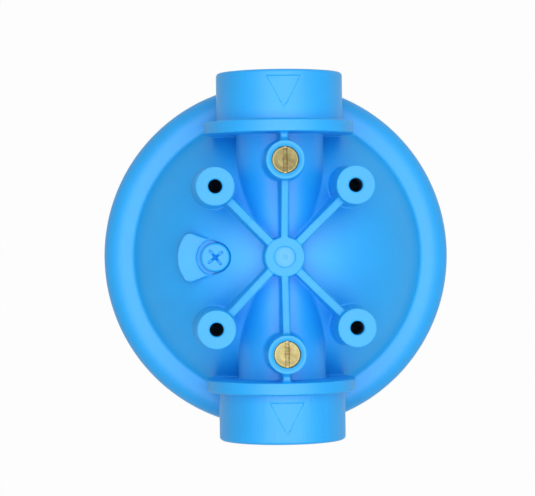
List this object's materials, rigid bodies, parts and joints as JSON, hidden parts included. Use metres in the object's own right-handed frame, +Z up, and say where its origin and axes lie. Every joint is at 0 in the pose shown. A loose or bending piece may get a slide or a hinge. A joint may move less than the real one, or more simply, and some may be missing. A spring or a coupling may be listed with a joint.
{
  "type": "cartridge filter housing",
  "caption": "Water filter housing with a domed cap, in-line pipe ports, bracket bosses, gauge plugs, vent screw and a screw-on sump that holds a pleated cartridge.",
  "frame": {"origin": "centre of the base that the sump stands on", "axes": "+Z up through the cap, +Y out of the inlet port, -X towards the vent screw"},
  "size_m": [0.184, 0.19, 0.3434],
  "materials": {
    "cap": "moulded polypropylene, satin",
    "sump": "moulded polypropylene, satin",
    "vent": "moulded polypropylene, satin",
    "rubber": "black nitrile rubber",
    "brass": "turned brass",
    "tape": "white thread-seal tape",
    "media": "pleated filter sheet",
    "cartridge": "white moulded plastic",
    "gasket": "soft flat gasket"
  },
  "bodies": {
    "cap": {"cap": "cap"},
    "cartridge": {"cartridge_media": "media", "cartridge_core": "cartridge", "cartridge_top_cap": "cartridge", "cartridge_bottom_cap": "cartridge", "cartridge_top_gasket": "gasket", "cartridge_bottom_gasket": "gasket"},
    "sump_seal": {"sump_o_ring": "rubber"},
    "sump": {"sump": "sump"},
    "vent_seal": {"vent_o_ring": "rubber"},
    "vent_screw": {"vent_screw": "vent"},
    "inlet_tape": {"inlet_plug_tape": "tape"},
    "inlet_plug": {"inlet_gauge_plug": "brass"},
    "outlet_tape": {"outlet_plug_tape": "tape"},
    "outlet_plug": {"outlet_gauge_plug": "brass"}
  },
  "joints": [
    {"name": "sump_unscrew", "type": "slide", "parent": "cap", "child": "cartridge", "axis": [0, 0, -1], "range_m": [0, 0.0241]},
    {"name": "sump_pull", "type": "slide", "parent": "cartridge", "child": "sump_seal", "axis": [0, 0, -1], "range_m": [0, 0.28]},
    {"name": "sump_turn", "type": "hinge", "parent": "sump_seal", "child": "sump", "pos_m": [0, 0, 0.24], "axis": [0, 0, -1], "range_deg": [0, 1080]},
    {"name": "vent_rise", "type": "slide", "parent": "cap", "child": "vent_seal", "axis": [0, 0, 1], "range_m": [0, 0.0105]},
    {"name": "vent_turn", "type": "hinge", "parent": "vent_seal", "child": "vent_screw", "pos_m": [-0.0346, 0, 0.311], "axis": [0, 0, 1], "range_deg": [0, 2530]},
    {"name": "inlet_plug_rise", "type": "slide", "parent": "cap", "child": "inlet_tape", "axis": [0, 0, 1], "range_m": [0, 0.00847]},
    {"name": "inlet_plug_turn", "type": "hinge", "parent": "inlet_tape", "child": "inlet_plug", "pos_m": [0, 0.0487, 0.3416], "axis": [0, 0, 1], "range_deg": [0, 2170]},
    {"name": "outlet_plug_rise", "type": "slide", "parent": "cap", "child": "outlet_tape", "axis": [0, 0, 1], "range_m": [0, 0.00847]},
    {"name": "outlet_plug_turn", "type": "hinge", "parent": "outlet_tape", "child": "outlet_plug", "pos_m": [0, -0.0487, 0.3416], "axis": [0, 0, 1], "range_deg": [0, 2170]}
  ],
  "couplings": [
    {"joint": "sump_unscrew", "follows": "sump_turn", "m_per_rad": 0.0012732},
    {"joint": "vent_turn", "follows": "vent_rise", "rad_per_m": 4188.8},
    {"joint": "inlet_plug_turn", "follows": "inlet_plug_rise", "rad_per_m": 4452.7},
    {"joint": "outlet_plug_turn", "follows": "outlet_plug_rise", "rad_per_m": 4452.7}
  ]
}
